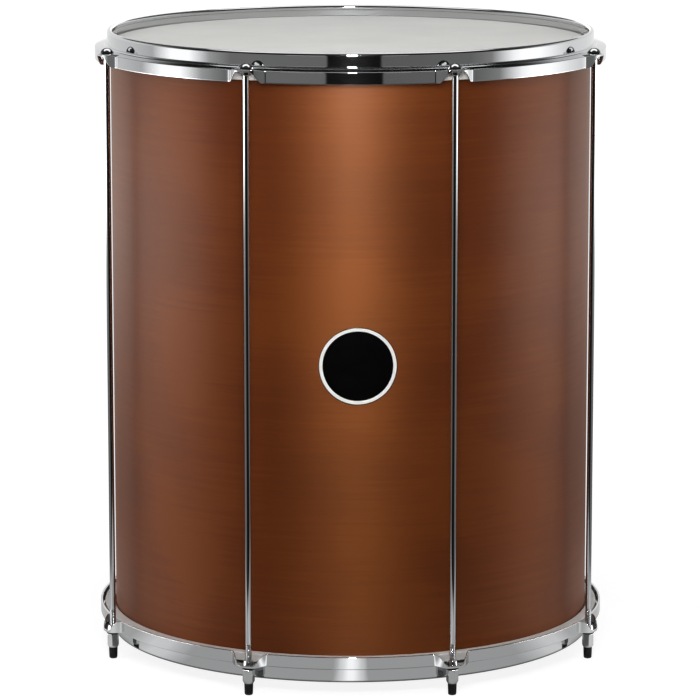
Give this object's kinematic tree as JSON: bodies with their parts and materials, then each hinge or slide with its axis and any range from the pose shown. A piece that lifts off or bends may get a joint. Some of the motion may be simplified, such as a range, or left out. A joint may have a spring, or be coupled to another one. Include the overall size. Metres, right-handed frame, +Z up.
{
  "type": "surdo",
  "caption": "Deep two-headed bass drum: stained wooden shell, chromed eared hoops, full-length tension rods with sleeve nuts, and rubber feet under the nuts.",
  "frame": {"origin": "on the drum's axis, in the plane that the rubber feet stand on", "axes": "+Z up along the drum axis to the batter head, -Y towards the front with the badge"},
  "size_m": [0.4872, 0.4872, 0.5946],
  "materials": {
    "stained_wood": "brown stain under satin lacquer",
    "chrome": "polished chrome plate on steel",
    "flesh_aluminium": "bare, satin",
    "head_film": "milky translucent polyester film",
    "black_nylon": "moulded",
    "black_rubber": "moulded, matte",
    "badge_enamel": "black field inside a white rim"
  },
  "bodies": {
    "drum": {"shell": "stained_wood", "batter_head": "head_film", "batter_flesh_hoop": "flesh_aluminium", "resonant_head": "head_film", "resonant_flesh_hoop": "flesh_aluminium", "bottom_hoop": "chrome", "badge": "badge_enamel", "nut_washer_1": "black_nylon", "nut_washer_2": "black_nylon", "nut_washer_3": "black_nylon", "nut_washer_4": "black_nylon", "nut_washer_5": "black_nylon", "nut_washer_6": "black_nylon", "nut_washer_7": "black_nylon", "nut_washer_8": "black_nylon"},
    "upper_hoop": {"top_hoop": "chrome", "tension_rod_1": "chrome", "tension_rod_2": "chrome", "tension_rod_3": "chrome", "tension_rod_4": "chrome", "tension_rod_5": "chrome", "tension_rod_6": "chrome", "tension_rod_7": "chrome", "tension_rod_8": "chrome"},
    "nut_1": {"tension_nut_1": "chrome", "rubber_foot_1": "black_rubber"},
    "nut_2": {"tension_nut_2": "chrome", "rubber_foot_2": "black_rubber"},
    "nut_3": {"tension_nut_3": "chrome", "rubber_foot_3": "black_rubber"},
    "nut_4": {"tension_nut_4": "chrome", "rubber_foot_4": "black_rubber"},
    "nut_5": {"tension_nut_5": "chrome", "rubber_foot_5": "black_rubber"},
    "nut_6": {"tension_nut_6": "chrome", "rubber_foot_6": "black_rubber"},
    "nut_7": {"tension_nut_7": "chrome", "rubber_foot_7": "black_rubber"},
    "nut_8": {"tension_nut_8": "chrome", "rubber_foot_8": "black_rubber"}
  },
  "joints": [
    {"name": "hoop_lift", "type": "slide", "parent": "drum", "child": "upper_hoop", "axis": [0, 0, 1], "range_m": [0, 0.005]},
    {"name": "nut_turn_1", "type": "hinge", "parent": "drum", "child": "nut_1", "pos_m": [0.09395, -0.22681, 0.01775], "axis": [0, 0, -1], "range_deg": [0, 1800.5]},
    {"name": "nut_turn_2", "type": "hinge", "parent": "drum", "child": "nut_2", "pos_m": [0.22681, -0.09395, 0.01775], "axis": [0, 0, -1], "range_deg": [0, 1800.5]},
    {"name": "nut_turn_3", "type": "hinge", "parent": "drum", "child": "nut_3", "pos_m": [0.22681, 0.09395, 0.01775], "axis": [0, 0, -1], "range_deg": [0, 1800.5]},
    {"name": "nut_turn_4", "type": "hinge", "parent": "drum", "child": "nut_4", "pos_m": [0.09395, 0.22681, 0.01775], "axis": [0, 0, -1], "range_deg": [0, 1800.5]},
    {"name": "nut_turn_5", "type": "hinge", "parent": "drum", "child": "nut_5", "pos_m": [-0.09395, 0.22681, 0.01775], "axis": [0, 0, -1], "range_deg": [0, 1800.5]},
    {"name": "nut_turn_6", "type": "hinge", "parent": "drum", "child": "nut_6", "pos_m": [-0.22681, 0.09395, 0.01775], "axis": [0, 0, -1], "range_deg": [0, 1800.5]},
    {"name": "nut_turn_7", "type": "hinge", "parent": "drum", "child": "nut_7", "pos_m": [-0.22681, -0.09395, 0.01775], "axis": [0, 0, -1], "range_deg": [0, 1800.5]},
    {"name": "nut_turn_8", "type": "hinge", "parent": "drum", "child": "nut_8", "pos_m": [-0.09395, -0.22681, 0.01775], "axis": [0, 0, -1], "range_deg": [0, 1800.5]}
  ],
  "couplings": [
    {"joint": "nut_turn_1", "follows": "hoop_lift", "rad_per_m": 6283.2},
    {"joint": "nut_turn_2", "follows": "hoop_lift", "rad_per_m": 6283.2},
    {"joint": "nut_turn_3", "follows": "hoop_lift", "rad_per_m": 6283.2},
    {"joint": "nut_turn_4", "follows": "hoop_lift", "rad_per_m": 6283.2},
    {"joint": "nut_turn_5", "follows": "hoop_lift", "rad_per_m": 6283.2},
    {"joint": "nut_turn_6", "follows": "hoop_lift", "rad_per_m": 6283.2},
    {"joint": "nut_turn_7", "follows": "hoop_lift", "rad_per_m": 6283.2},
    {"joint": "nut_turn_8", "follows": "hoop_lift", "rad_per_m": 6283.2}
  ]
}
